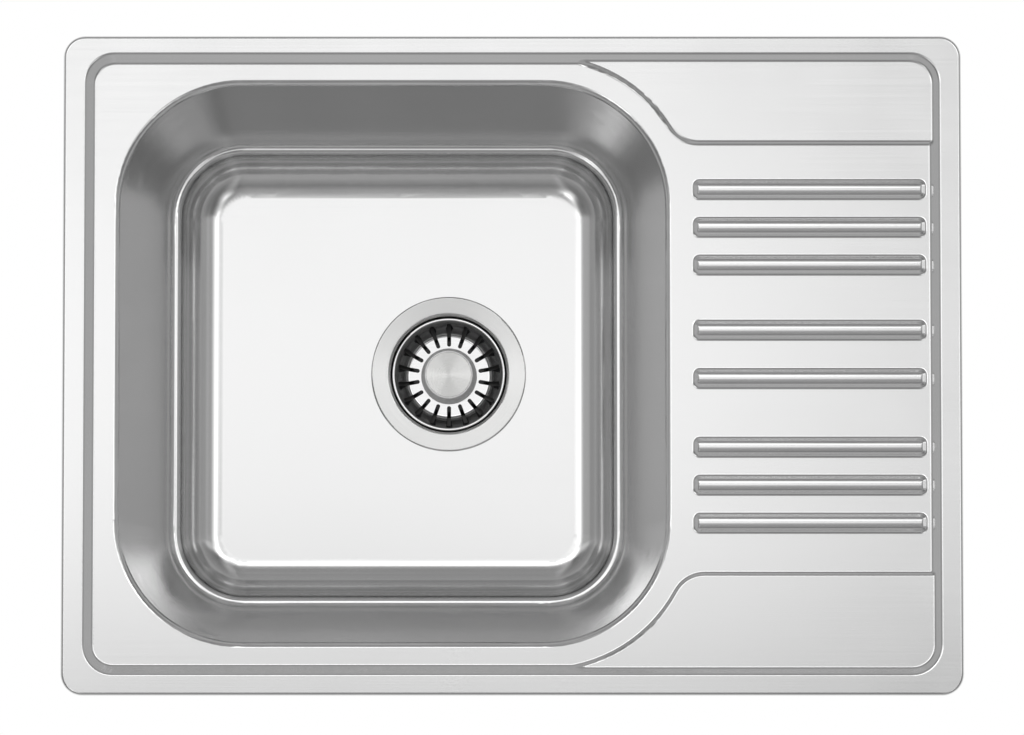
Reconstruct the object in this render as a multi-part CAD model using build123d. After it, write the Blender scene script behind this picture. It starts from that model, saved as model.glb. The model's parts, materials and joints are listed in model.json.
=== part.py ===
from build123d import *
from math import atan2, cos, degrees, hypot, radians, sin, sqrt, tan
import os

# A stainless steel inset kitchen sink with a bowl on the left and a drainboard on the right.
# Millimetres. The origin is the middle of the rim's seat: z = 0 is the top of the worktop,
# +X runs to the drainboard's end and +Y to the wall behind the sink.

# ---- the pressed sheet ----
SHEET = 0.8  # thickness of the steel
RIM_LENGTH = 640.0
RIM_WIDTH = 470.0
RIM_CORNER = 15.6
RIM_HEIGHT = 4.0  # the rim's top above the worktop
RIM_EDGE_GAP = 0.2  # between the turned-down edge and the worktop
RIM_ROLL = 2.4  # radius of the rolled outer edge
RIM_SIDE = 14.6  # flat of the rim at the left and right
RIM_BACK = 11.7
RIM_FRONT = 14.0
RECESS_DROP = 6.0  # from the rim to the deck
PLATE_RISE = 1.7  # of the corner plates above the deck
RECESS_CORNER = 14.8  # at the foot of the step
BLEND = 3.0  # radius on the upper side of every small step
PLATE_BLEND = 2.6
PLATE_BURIED = 0.8  # of a plate's edge in the step behind it
STEP_SLOPE = 45.0  # degrees

# ---- the bowl ----
BOWL_LENGTH = 397.0
BOWL_LEFT_MARGIN = 36.2  # from the rim's outline to the bowl's lip
BOWL_BACK_MARGIN = 30.8
BOWL_FRONT_MARGIN = 34.0
BOWL_CORNER = 91.0
BOWL_DEPTH = 155.0
LIP_RADIUS = 4.2
CREASE_HEIGHT = 35.0  # above the bowl's floor, of the narrow ledge where the second draw starts
CREASE_INSET = 28.3  # of the ledge from the bowl's sharp lip
CREASE_CORNER = 54.0
LEDGE_WIDTH = 6.2
LEDGE_RADIUS = 3.4  # of its two blends
FOOT_DRAFT = 4.0  # degrees, below the ledge
WELD_DEPTH = 12.0  # where the bowl is joined to the deck

# ---- the raised plates' edges and the drain ribs ----
PLATE_ARC = 106.6  # radius, round the bowl's corner
PLATE_BACK_ARC = 23.5
PLATE_BACK_DEPTH = 57.2  # from the foot of the step to the plate's edge
PLATE_FRONT_DEPTH = 65.2
BACK_RIB_COUNT = 3
MIDDLE_RIB_COUNT = 2
FRONT_RIB_COUNT = 3
RIB_START_GAP = 14.7  # from the bowl's lip
RIB_END_GAP = 2.6  # from the foot of the step
RIB_WIDTH = 15.8
RIB_HEIGHT = 3.2
RIB_CORNER = 5.5
RIB_CROWN = 14.0  # radius of the top across the rib
RIB_SHOULDER = 1.6  # radius between the top and the side
RIB_PITCH = 27.0
RIB_MIDDLE_PITCH = 34.5
RIB_BACK_GAP = 60.3  # from the back plate's edge to the middle of the back group
RIB_FRONT_GAP = 63.2
RIB_MIDDLE_OFFSET = 1.2  # of the middle group from halfway between the others

# ---- seal, rails and pads ----
SEAL_INSET = 2.8  # from the rim's outline
SEAL_WIDTH = 8.0
RAIL_THICK = 1.2
RAIL_INSET = 2.2  # from the foot of the step
RAIL_FOOT = 7.5
RAIL_HEIGHT = 17.0
RAIL_SIDE_END = 100.0  # from the rim's outline to the ends of the left and right rails
RAIL_LEFT_OFFSET = 44.7  # of the rails beside the bowl, left of its middle
RAIL_LEFT_LENGTH = 200.0
RAIL_RIGHT_START = 23.2  # of the rails under the corner plates, left of the bowl's right end
RAIL_RIGHT_END = 50.0  # of those rails, from the rim's outline
PAD_THICK = 2.0
BOWL_PAD_LENGTH = 90.0
BOWL_PAD_WIDTH = 180.0
BOWL_PAD_OFFSET = 79.7  # left of the bowl's middle
DRAINER_PAD_END = 28.8  # from the ribs' ends
DRAINER_PAD_SIDE = 53.8  # from the corner plates' edges

# ---- worktop clamps ----
WORKTOP_MIN = 28.0
WORKTOP_MAX = 42.0
CLAMP_SIDE_END = 40.0  # of the clamps on the left and right rails, from the rail's ends
BRACKET_WIDTH = 18.0
BRACKET_THICK = 1.5
BRACKET_GAP = 0.2  # between bracket and rail
HOOK_LENGTH = 6.0
HOOK_DEPTH = 8.2  # of the slot's lower edge below the deck's underside
SLOT_HEIGHT = 3.6
SLOT_GAP = 0.3  # at each end of the bracket
SCREW_RADIUS = 2.5
SCREW_OFFSET = 7.3  # from the rail's outer face to the screw
SCREW_HEAD_RADIUS = 4.4
SCREW_HEAD_HEIGHT = 3.0
SCREW_COLLAR_RADIUS = 4.0
SCREW_COLLAR_HEIGHT = 0.9
PLAY = 0.1  # end play of the clamp's moving pieces
RUNNING = 0.05  # radial clearance of a running fit
NUT_LENGTH = 9.0
NUT_BASE = 3.0
SLEEVE_RADIUS = 3.9
JAW_THICK = 4.0
JAW_REACH = 20.0
JAW_WIDTH = 8.4
TOOTH_HEIGHT = 2.0
TOOTH_PITCH = 2.8
TOOTH_COUNT = 3
JAW_SPARE = 1.0  # of the lowered jaw below the thickest worktop

# ---- strainer and waste ----
DRAIN_RIGHT = 37.6  # of the drain's middle from the bowl's middle
DRAIN_BACK = 3.2
HOLE_RADIUS = 45.0
FLANGE_RADIUS = 58.0
FLANGE_SEAL = 1.2
CUP_SHEET = 0.8
CUP_RADIUS = 43.6  # inside
CUP_DEPTH = 37.0  # of the cup's floor below the bowl's floor
CUP_CORNER = 7.0
FLOW_INNER = 12.0
FLOW_OUTER = 24.0
FLOW_COUNT = 4
FLOW_WEB = 5.0  # between the flow holes
BODY_SEAL = 2.0
BODY_WALL = 2.6
BODY_GAP = 0.8  # round the cup
BODY_FLANGE_RADIUS = 57.0
BODY_FLANGE = 4.0
BODY_DROP = 4.5  # of the body's floor below the cup's floor
BODY_CONE = 9.5
OUTLET_RADIUS = 23.9
OUTLET_BORE = 20.5
OUTLET_LENGTH = 24.0
HUB_RADIUS = 9.0
HUB_LENGTH = 16.4
HUB_CAP = 2.0  # of the hub above the insert
SPOKE_COUNT = 3
SPOKE_THICK = 2.5
SPOKE_HEIGHT = 8.0
INSERT_RADIUS = 7.0
INSERT_LENGTH = 12.0
WASTE_SCREW_RADIUS = 5.0
WASTE_HEAD_RADIUS = 7.5
WASTE_HEAD_HEIGHT = 6.0
WASTE_SOCKET = 4.0
WASTE_SOCKET_DEPTH = 9.0

# ---- basket ----
BASKET_SHEET = 0.8
BASKET_RIM_RADIUS = 42.5
BASKET_RIM_DROP = 3.0  # below the bowl's floor
BASKET_PLATE_RADIUS = 32.0
BASKET_DEPTH = 20.0
BASKET_RIM_WIDTH = 2.0
SLOT_COUNT = 18
SLOT_WIDTH = 3.0
SLOT_START = 22.5
SLOT_TOP = 5.0  # solid wall left under the basket's rim
KNOB_BASE_RADIUS = 21.0
KNOB_TOP_RADIUS = 18.2
KNOB_WAIST_RADIUS = 14.5
KNOB_HEIGHT = 19.4
CAP_RADIUS = 17.0
CAP_THICK = 1.0
PLUG_PLATE = 3.0
PLUG_RADIUS = 30.5
PLUG_WALL = 2.6
PLUG_GAP = 0.1  # between the plug's lip and the cup
WASHER_RADIUS = 14.0
WASHER_THICK = 0.8
STEM_RADIUS = 2.0
STEM_NUT_WIDTH = 7.0
STEM_NUT_HEIGHT = 2.6
GUIDE_LENGTH = 6.0

# ---- levels ----
RIM_TOP = RIM_HEIGHT
DECK = RIM_TOP - RECESS_DROP
PLATE_TOP = DECK + PLATE_RISE
DECK_UNDER = DECK - SHEET
FLOOR = DECK - BOWL_DEPTH
FLOOR_UNDER = FLOOR - SHEET
CREASE = FLOOR + CREASE_HEIGHT
FOOT_RADIUS = 0.82 * CREASE_HEIGHT
CUP_FLOOR = FLOOR - CUP_DEPTH
BASKET_RIM = FLOOR - BASKET_RIM_DROP
BASKET_PLATE = BASKET_RIM - BASKET_DEPTH
BELOW_ALL = FLOOR - 20.0  # the lower end of the solid that the sheet is cut from

# ---- places ----
STEP_RUN = BLEND * tan(radians(STEP_SLOPE / 2))  # from a blend's start to the sharp edge
RECESS_RUN = RECESS_DROP / tan(radians(STEP_SLOPE))
RECESS_LEFT = -RIM_LENGTH / 2 + RIM_SIDE + STEP_RUN + RECESS_RUN
RECESS_RIGHT = -RECESS_LEFT
RECESS_FRONT = -RIM_WIDTH / 2 + RIM_FRONT + STEP_RUN + RECESS_RUN
RECESS_BACK = RIM_WIDTH / 2 - RIM_BACK - STEP_RUN - RECESS_RUN
BOWL_WIDTH = RIM_WIDTH - BOWL_BACK_MARGIN - BOWL_FRONT_MARGIN
BOWL_X = -RIM_LENGTH / 2 + BOWL_LEFT_MARGIN + BOWL_LENGTH / 2
BOWL_Y = (BOWL_FRONT_MARGIN - BOWL_BACK_MARGIN) / 2
BOWL_RIGHT = BOWL_X + BOWL_LENGTH / 2
DRAIN_X = BOWL_X + DRAIN_RIGHT
DRAIN_Y = BOWL_Y + DRAIN_BACK
PLATE_EDGE_BACK = RECESS_BACK - PLATE_BACK_DEPTH
PLATE_EDGE_FRONT = RECESS_FRONT + PLATE_FRONT_DEPTH
RIB_START = BOWL_RIGHT + RIB_START_GAP
RIB_END = RECESS_RIGHT - RIB_END_GAP
RIB_BACK_Y = PLATE_EDGE_BACK - RIB_BACK_GAP
RIB_FRONT_Y = PLATE_EDGE_FRONT + RIB_FRONT_GAP
RIB_MIDDLE_Y = (RIB_BACK_Y + RIB_FRONT_Y) / 2 + RIB_MIDDLE_OFFSET
RAIL_SIDE_LENGTH = RIM_WIDTH - 2 * RAIL_SIDE_END
RAIL_LEFT_X = BOWL_X - RAIL_LEFT_OFFSET
RAIL_RIGHT_LENGTH = RIM_LENGTH / 2 - RAIL_RIGHT_END - BOWL_RIGHT + RAIL_RIGHT_START
RAIL_RIGHT_X = RIM_LENGTH / 2 - RAIL_RIGHT_END - RAIL_RIGHT_LENGTH / 2

parts = {}


def grow(offset, slope):
    """How far a slope's foot moves in plan when its surface is offset along the normal."""
    return offset * tan(radians(slope / 2))


def box(x0, x1, y0, y1, z0, z1):
    return Pos((x0 + x1) / 2, (y0 + y1) / 2, (z0 + z1) / 2) * Box(x1 - x0, y1 - y0, z1 - z0)


def round_box(x0, x1, y0, y1, radius, z):
    """A rounded rectangle as a face at height z."""
    return Pos((x0 + x1) / 2, (y0 + y1) / 2, z) * RectangleRounded(x1 - x0, y1 - y0, radius)


def edges_at(shape, z):
    return shape.edges().filter_by_position(Axis.Z, z - 0.01, z + 0.01)


def rounded_outline(points):
    """A face from corners (x, y) or (x, y, radius), where a radius rounds the corner."""
    count = len(points)
    trail = []
    for i, corner in enumerate(points):
        x, y = corner[:2]
        radius = corner[2] if len(corner) > 2 else 0
        if not radius:
            trail.append([(x, y)])
            continue
        before, after = points[i - 1], points[(i + 1) % count]
        a = Vector(before[0] - x, before[1] - y).normalized()
        b = Vector(after[0] - x, after[1] - y).normalized()
        half = radians(a.get_angle(b)) / 2
        reach = radius / tan(half)
        middle = (a + b).normalized() * (radius / sin(half) - radius)
        p, q = a * reach, b * reach
        trail.append([(x + p.X, y + p.Y), (x + middle.X, y + middle.Y), (x + q.X, y + q.Y)])
    lines = []
    for i, part in enumerate(trail):
        if len(part) == 3:
            lines.append(ThreePointArc(*part))
        start, end = part[-1], trail[(i + 1) % count][0]
        if hypot(end[0] - start[0], end[1] - start[1]) > 1e-6:
            lines.append(Line(start, end))
    return make_face(lines)


def turned(points):
    """A solid of revolution round the drain's axis from corners (radius, z[, rounding])."""
    profile = Plane.XZ * rounded_outline(points)
    return Pos(DRAIN_X, DRAIN_Y) * revolve(profile, Axis.Z)


def disc(radius, z0, z1, hole=0.0):
    ring = Pos(0, 0, (z0 + z1) / 2) * Cylinder(radius, z1 - z0)
    if hole:
        ring -= Pos(0, 0, (z0 + z1) / 2) * Cylinder(hole, z1 - z0 + 2)
    return Pos(DRAIN_X, DRAIN_Y) * ring


# ---- the pressed sheet: a solid below its upper side, less a solid below its under side ----

WALL_SLOPE = degrees(atan2(DECK - CREASE, CREASE_INSET))
FOOT_SLOPE = 90 - FOOT_DRAFT
LIP_RUN = LIP_RADIUS * tan(radians(WALL_SLOPE / 2))


def block(offset):
    """The sheet's outer edge with its roll, as a solid block."""
    length, width = RIM_LENGTH - 2 * offset, RIM_WIDTH - 2 * offset
    base = Pos(0, 0, BELOW_ALL) * RectangleRounded(length, width, RIM_CORNER - offset)
    solid = extrude(base, RIM_TOP - offset - BELOW_ALL)
    return fillet(edges_at(solid, RIM_TOP - offset), RIM_ROLL - offset)


def recess(offset):
    """The hollow between the rim and the deck, with its foot rounded."""
    out = grow(offset, STEP_SLOPE)
    low, high = DECK - offset, RIM_TOP - offset
    foot = round_box(
        RECESS_LEFT - out,
        RECESS_RIGHT + out,
        RECESS_FRONT - out,
        RECESS_BACK + out,
        RECESS_CORNER + out,
        low,
    )
    hollow = extrude(foot, high - low, taper=STEP_SLOPE - 90)
    return fillet(edges_at(hollow, low), BLEND + offset)


def plate(offset, side):
    """A raised corner plate with its S-shaped edge blended; side is 1 at the back and -1 in front.

    It is drawn on the back's side and mirrored for the front."""
    low, high = DECK - offset, PLATE_TOP - offset
    out = grow(offset, STEP_SLOPE) - PLATE_RISE / 2
    arc = PLATE_ARC + out
    back_arc = PLATE_BACK_ARC - out
    corner_x = BOWL_X + BOWL_LENGTH / 2 - BOWL_CORNER
    corner_y = side * BOWL_Y + BOWL_WIDTH / 2 - BOWL_CORNER
    foot = RECESS_BACK if side > 0 else -RECESS_FRONT
    edge = (PLATE_EDGE_BACK if side > 0 else -PLATE_EDGE_FRONT) + out
    turn_y = edge + back_arc
    turn_x = corner_x + sqrt((arc + back_arc) ** 2 - (turn_y - corner_y) ** 2)
    share = arc / (arc + back_arc)
    joint = (corner_x + (turn_x - corner_x) * share, corner_y + (turn_y - corner_y) * share)
    start_y = foot + PLATE_BURIED
    start = (corner_x + sqrt(arc**2 - (start_y - corner_y) ** 2), start_y)
    turn = atan2(start_y - corner_y, start[0] - corner_x)
    turn = (turn + atan2(joint[1] - corner_y, joint[0] - corner_x)) / 2
    middle = (corner_x + arc * cos(turn), corner_y + arc * sin(turn))
    towards = Vector((joint[0] - turn_x) / 2, (joint[1] + edge) / 2 - turn_y).normalized()
    bulge = (turn_x + towards.X * back_arc, turn_y + towards.Y * back_arc)
    far_x, far_y = RECESS_RIGHT + RECESS_RUN, foot + RECESS_RUN
    outline = [
        ThreePointArc(start, middle, joint),
        ThreePointArc(joint, bulge, (turn_x, edge)),
        Line((turn_x, edge), (far_x, edge)),
        Line((far_x, edge), (far_x, far_y)),
        Line((far_x, far_y), (start[0], far_y)),
        Line((start[0], far_y), start),
    ]
    top = Pos(0, 0, low) * extrude(make_face(outline), high - low, taper=90 - STEP_SLOPE)
    skirt = box(start[0] - BLEND, far_x, edge - 2 * BLEND, far_y, low - BLEND, low)
    solid = skirt + top

    def on_curve(line):
        along = line.geom_type == GeomType.LINE and abs(line.tangent_at(0.5).X) > 0.99
        return line.geom_type == GeomType.CIRCLE or (along and abs(line.center().Y - edge) < BLEND)

    solid = fillet([line for line in edges_at(solid, high) if on_curve(line)], PLATE_BLEND - offset)
    solid = fillet([line for line in edges_at(solid, low) if on_curve(line)], BLEND + offset)
    return solid if side > 0 else mirror(solid, Plane.XZ)


def step_edges(solid, offset):
    """The edges where the corner plates meet the step round the recess."""

    def on_step(line):
        place = line.center()
        beside = place.X > RECESS_RIGHT - RECESS_CORNER
        return beside or place.Y > RECESS_BACK - 1 or place.Y < RECESS_FRONT + 1

    return [line for line in edges_at(solid, PLATE_TOP - offset) if on_step(line)]


def rib_places():
    """The Y of each drain rib: a group at the back, one in the middle and one in front."""
    places = []
    for count, pitch, middle in (
        (BACK_RIB_COUNT, RIB_PITCH, RIB_BACK_Y),
        (MIDDLE_RIB_COUNT, RIB_MIDDLE_PITCH, RIB_MIDDLE_Y),
        (FRONT_RIB_COUNT, RIB_PITCH, RIB_FRONT_Y),
    ):
        places += [middle + (i - (count - 1) / 2) * pitch for i in range(count)]
    return places


def rib(offset, y):
    """A crowned drain rib with round corners, on a short stretch of deck so that its foot is blended."""
    low = DECK - offset
    cut = 2 * (STEP_RUN + grow(offset, STEP_SLOPE))
    length, width = RIB_END - RIB_START - cut, RIB_WIDTH - cut
    middle = Pos((RIB_START + RIB_END) / 2, y, low)
    outline = middle * RectangleRounded(length, width, RIB_CORNER - cut / 2)
    top = extrude(outline, RIB_HEIGHT, taper=90 - STEP_SLOPE)
    crown = RIB_CROWN - offset
    top &= middle * Pos(0, 0, RIB_HEIGHT - crown) * Rot(0, 90, 0) * Cylinder(crown, length + 2)
    shoulder = [line for line in top.edges() if line.bounding_box().min.Z > low + 0.1 * RIB_HEIGHT]
    top = fillet([line for line in shoulder if line.length > SHEET], RIB_SHOULDER - offset)
    ground = middle * Pos(0, 0, -BLEND / 2) * Box(length + 4 * BLEND, width + 3 * BLEND, BLEND)
    solid = ground + top
    foot = [line for line in edges_at(solid, low) if abs(line.center().Y - y) < (width + BLEND) / 2]
    foot = [line for line in foot if abs(line.center().X - middle.position.X) < (length + BLEND) / 2]
    return fillet(foot, BLEND + offset)


def bowl_hollow(offset):
    """The inside of the bowl: a wall that leans out, a narrow blended ledge and a rounded foot."""
    out = grow(offset, WALL_SLOPE)
    top, crease, bottom = DECK - offset, CREASE - offset, FLOOR - offset
    half_x, half_y = BOWL_LENGTH / 2 - LIP_RUN + out, BOWL_WIDTH / 2 - LIP_RUN + out

    def outline(inset, corner, z):
        x, y = half_x - inset, half_y - inset
        return round_box(BOWL_X - x, BOWL_X + x, BOWL_Y - y, BOWL_Y + y, corner, z)

    upper = outline(0, BOWL_CORNER - LIP_RUN + out, top)
    wall = loft([upper, outline(CREASE_INSET, CREASE_CORNER + out, crease)], ruled=True)
    wall = fillet(edges_at(wall, crease), LEDGE_RADIUS + offset)
    down = grow(offset, FOOT_SLOPE) - out
    lower = outline(CREASE_INSET + LEDGE_WIDTH - down, CREASE_CORNER - LEDGE_WIDTH + out + down, crease)
    foot = extrude(lower, crease - bottom, dir=(0, 0, -1), taper=FOOT_DRAFT)
    foot = fillet(edges_at(foot, bottom), FOOT_RADIUS + offset)
    hollow = wall + foot
    inner_x = BOWL_LENGTH / 2 - CREASE_INSET - LEDGE_WIDTH + SHEET
    inner_y = BOWL_WIDTH / 2 - CREASE_INSET - LEDGE_WIDTH + SHEET

    def on_ledge(line):
        place = line.center()
        return abs(place.X - BOWL_X) < inner_x and abs(place.Y - BOWL_Y) < inner_y

    ledge = [line for line in edges_at(hollow, crease) if on_ledge(line)]
    return fillet(ledge, LEDGE_RADIUS - offset)


def form(offset):
    """The solid below the sheet's upper side, or below its under side at the sheet's thickness."""
    solid = block(offset) - recess(offset)
    rim_flat = RIM_LENGTH / 2 - RIM_SIDE + 1, RIM_WIDTH / 2 - RIM_BACK + 1
    inner = [
        line
        for line in edges_at(solid, RIM_TOP - offset)
        if abs(line.center().X) < rim_flat[0] and abs(line.center().Y) < rim_flat[1]
    ]
    solid = fillet(inner, BLEND - offset)
    for side in (1, -1):
        solid += plate(offset, side)
    solid = fillet(step_edges(solid, offset), BLEND - offset)
    for y in rib_places():
        solid += rib(offset, y)
    solid -= bowl_hollow(offset)
    lip = [
        line
        for line in edges_at(solid, DECK - offset)
        if hypot(line.center().X - BOWL_X, line.center().Y - BOWL_Y) < BOWL_WIDTH / 2 + BLEND
        and abs(line.center().X - BOWL_X) < BOWL_LENGTH / 2 + 1
        and line.center().Y < BOWL_Y + BOWL_WIDTH / 2 + 1
    ]
    return fillet(lip, LIP_RADIUS - offset)


def rim_outline(inset):
    """The rim's outline drawn inwards, as a face."""
    corner = max(RIM_CORNER - inset, SHEET)
    return RectangleRounded(RIM_LENGTH - 2 * inset, RIM_WIDTH - 2 * inset, corner)


def raised(face, z0, z1):
    """A face at z = 0 as a solid from z0 up to z1."""
    return extrude(Pos(0, 0, z0) * face, z1 - z0)


sheet = form(0) - form(SHEET)
skirt_zone = box(-RIM_LENGTH, RIM_LENGTH, -RIM_WIDTH, RIM_WIDTH, BELOW_ALL - 1, RIM_EDGE_GAP)
skirt_zone -= raised(rim_outline(RIM_ROLL), BELOW_ALL - 2, RIM_EDGE_GAP + 1)
sheet -= skirt_zone
sheet -= disc(HOLE_RADIUS, FLOOR - 5, FLOOR + 5)
weld = Plane.XY.offset(DECK - WELD_DEPTH)
parts["sink_deck"] = split(sheet, weld, keep=Keep.TOP)
parts["sink_bowl"] = split(sheet, weld, keep=Keep.BOTTOM)


# ---- foam seal under the rim, and pads ----


seal_face = rim_outline(SEAL_INSET) - rim_outline(SEAL_INSET + SEAL_WIDTH)
parts["rim_seal"] = extrude(seal_face, RIM_TOP - SHEET)


def pad(x, y, length, width, top):
    """A sound-deadening pad glued to the steel above it."""
    flat = Pos(x, y, top - PAD_THICK) * RectangleRounded(length, width, 6 * PAD_THICK)
    return extrude(flat, PAD_THICK)


bowl_pad_x = BOWL_X - BOWL_PAD_OFFSET
parts["bowl_pad"] = pad(bowl_pad_x, BOWL_Y, BOWL_PAD_LENGTH, BOWL_PAD_WIDTH, FLOOR_UNDER)
parts["drainer_pad"] = pad(
    (RIB_START + RIB_END) / 2,
    (PLATE_EDGE_BACK + PLATE_EDGE_FRONT) / 2,
    RIB_END - RIB_START - 2 * DRAINER_PAD_END,
    PLATE_EDGE_BACK - PLATE_EDGE_FRONT - 2 * DRAINER_PAD_SIDE,
    DECK_UNDER,
)


# ---- clamp rails and worktop clamps ----
# Each rail has a frame of its own: x runs along it, y points away from the sink and y = 0 is its outer face.

HOOK_Z = DECK_UNDER - HOOK_DEPTH
TOOTH_TOP = -WORKTOP_MAX - JAW_SPARE
JAW_Z = TOOTH_TOP - TOOTH_HEIGHT - JAW_THICK
NUT_Z = JAW_Z - PLAY - NUT_BASE
COLLAR_Z = NUT_Z - PLAY - SCREW_COLLAR_HEIGHT
FOOT_TOP = COLLAR_Z - PLAY
FOOT_BOTTOM = FOOT_TOP - BRACKET_THICK
HEAD_Z = FOOT_BOTTOM - PLAY - SCREW_HEAD_HEIGHT
JAW_LIFT = WORKTOP_MAX + JAW_SPARE - WORKTOP_MIN
SCREW_TIP = JAW_Z + JAW_THICK + JAW_LIFT + 1

RAILS = {
    "left": (Pos(RECESS_LEFT + RAIL_INSET, 0) * Rot(0, 0, 90), RAIL_SIDE_LENGTH, DECK_UNDER, 2),
    "right": (Pos(RECESS_RIGHT - RAIL_INSET, 0) * Rot(0, 0, -90), RAIL_SIDE_LENGTH, DECK_UNDER, 2),
    "back_left": (Pos(RAIL_LEFT_X, RECESS_BACK - RAIL_INSET), RAIL_LEFT_LENGTH, DECK_UNDER, 1),
    "back_right": (
        Pos(RAIL_RIGHT_X, RECESS_BACK - RAIL_INSET),
        RAIL_RIGHT_LENGTH,
        PLATE_TOP - SHEET,
        1,
    ),
    "front_left": (
        Pos(RAIL_LEFT_X, RECESS_FRONT + RAIL_INSET) * Rot(0, 0, 180),
        RAIL_LEFT_LENGTH,
        DECK_UNDER,
        1,
    ),
    "front_right": (
        Pos(RAIL_RIGHT_X, RECESS_FRONT + RAIL_INSET) * Rot(0, 0, 180),
        RAIL_RIGHT_LENGTH,
        PLATE_TOP - SHEET,
        1,
    ),
}


def clamp_places(length, count):
    """Where the clamps hang along a rail: one in the middle, or one near each end."""
    far = length / 2 - CLAMP_SIDE_END
    return [0.0] if count == 1 else [-far, far]


def rail(length, top, places):
    """A welded angle: a foot under the deck and a leg with a slot for each clamp."""
    corners = [
        (0, DECK_UNDER - RAIL_HEIGHT),
        (0, top, 2 * RAIL_THICK),
        (-RAIL_FOOT, top),
        (-RAIL_FOOT, top - RAIL_THICK),
        (-RAIL_THICK, top - RAIL_THICK, RAIL_THICK),
        (-RAIL_THICK, DECK_UNDER - RAIL_HEIGHT),
    ]
    solid = extrude(Plane.YZ * rounded_outline(corners), length / 2, both=True)
    half = BRACKET_WIDTH / 2 + SLOT_GAP
    for x in places:
        solid -= box(x - half, x + half, -2 * RAIL_THICK, 1, HOOK_Z, HOOK_Z + SLOT_HEIGHT)
    return solid


def bracket():
    """A bent strip that hooks over the slot's lower edge and carries the screw in its foot."""
    near = BRACKET_GAP
    far = near + BRACKET_THICK
    inner = -RAIL_THICK - BRACKET_GAP
    under, over = HOOK_Z + PLAY, HOOK_Z + PLAY + BRACKET_THICK
    reach = SCREW_OFFSET + SCREW_HEAD_RADIUS
    bend = BRACKET_THICK + 0.4
    corners = [
        (near, FOOT_BOTTOM, bend),
        (reach, FOOT_BOTTOM),
        (reach, FOOT_TOP),
        (far, FOOT_TOP, 0.4),
        (far, over, bend),
        (inner - BRACKET_THICK, over, bend),
        (inner - BRACKET_THICK, over - HOOK_LENGTH),
        (inner, over - HOOK_LENGTH),
        (inner, under, 0.2),
        (near, under, 0.2),
    ]
    solid = extrude(Plane.YZ * rounded_outline(corners), BRACKET_WIDTH / 2, both=True)
    gap = SCREW_RADIUS + 2 * PLAY
    notch = box(-gap, gap, SCREW_OFFSET, reach + 1, FOOT_BOTTOM - 1, FOOT_TOP + 1)
    notch += Pos(0, SCREW_OFFSET, (FOOT_TOP + FOOT_BOTTOM) / 2) * Cylinder(gap, BRACKET_THICK + 2)
    return solid - notch


def on_screw(radius, z0, z1):
    return Pos(0, SCREW_OFFSET, (z0 + z1) / 2) * Cylinder(radius, z1 - z0)


def clamp_screw():
    """A screw held in the bracket's foot between its head and its collar."""
    head = on_screw(SCREW_HEAD_RADIUS, HEAD_Z, HEAD_Z + SCREW_HEAD_HEIGHT)
    head = fillet(edges_at(head, HEAD_Z), SCREW_HEAD_HEIGHT / 2)
    shank = on_screw(SCREW_RADIUS, HEAD_Z + SCREW_HEAD_HEIGHT, SCREW_TIP)
    shank = chamfer(edges_at(shank, SCREW_TIP), SCREW_RADIUS / 3)
    solid = head + shank + on_screw(SCREW_COLLAR_RADIUS, COLLAR_Z, COLLAR_Z + SCREW_COLLAR_HEIGHT)
    length, width = SCREW_HEAD_RADIUS * 1.1, SCREW_HEAD_RADIUS * 0.25
    middle = Pos(0, SCREW_OFFSET, HEAD_Z)
    cross = Box(length, width, SCREW_HEAD_HEIGHT) + Box(width, length, SCREW_HEAD_HEIGHT)
    return solid - middle * cross


def clamp_nut():
    """A nut that climbs the screw, with a sleeve on which the jaw swings."""
    near = BRACKET_GAP + BRACKET_THICK + 4 * PLAY
    far = SCREW_OFFSET + NUT_LENGTH / 2 - 0.5
    sleeve_top = JAW_Z + JAW_THICK + PLAY
    base = box(-NUT_LENGTH / 2, NUT_LENGTH / 2, near, far, NUT_Z, NUT_Z + NUT_BASE)
    base = chamfer(base.edges().filter_by(Axis.Z), 0.6)
    solid = base + on_screw(SLEEVE_RADIUS, NUT_Z, sleeve_top)
    solid += on_screw(SLEEVE_RADIUS + 0.6, sleeve_top, sleeve_top + 0.6)
    return solid - on_screw(SCREW_RADIUS + RUNNING, NUT_Z - 1, sleeve_top + 2)


def clamp_jaw():
    """A toothed arm on the nut's sleeve, lying along the rail until it is swung out."""
    hub = on_screw(SLEEVE_RADIUS + 1.4, JAW_Z, JAW_Z + JAW_THICK)
    half = JAW_WIDTH / 2
    arm = box(0, JAW_REACH, SCREW_OFFSET - half, SCREW_OFFSET + half, JAW_Z, JAW_Z + JAW_THICK)
    ends = arm.edges().filter_by(Axis.Z).filter_by_position(Axis.X, JAW_REACH - 0.1, JAW_REACH + 0.1)
    arm = fillet(ends, half / 2)
    solid = hub + arm
    for i in range(TOOTH_COUNT):
        end = JAW_REACH - half / 2 - i * TOOTH_PITCH
        tooth = [(end, JAW_Z + JAW_THICK), (end, TOOTH_TOP), (end - TOOTH_PITCH, JAW_Z + JAW_THICK)]
        ridge = extrude(Plane.XZ * rounded_outline(tooth), half - 0.6, both=True)
        solid += Pos(0, SCREW_OFFSET, 0) * ridge
    return solid - on_screw(SLEEVE_RADIUS + RUNNING, JAW_Z - 1, JAW_Z + JAW_THICK + 1)


brackets = []
clamp_number = 0
for side, (frame, length, top, count) in RAILS.items():
    places = clamp_places(length, count)
    parts[f"rail_{side}"] = frame * rail(length, top, places)
    for x in places:
        clamp_number += 1
        here = frame * Pos(x, 0, 0)
        brackets.append(here * bracket())
        parts[f"clamp_screw_{clamp_number}"] = here * clamp_screw()
        parts[f"clamp_nut_{clamp_number}"] = here * clamp_nut()
        parts[f"clamp_jaw_{clamp_number}"] = here * clamp_jaw()
        axis = here * Pos(0, SCREW_OFFSET, 0)
        print(f"clamp {clamp_number} on rail_{side}: axis {axis.position.X:.3f}, {axis.position.Y:.3f}")
parts["clamp_brackets"] = Compound(brackets)


# ---- strainer cup and waste ----

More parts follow.
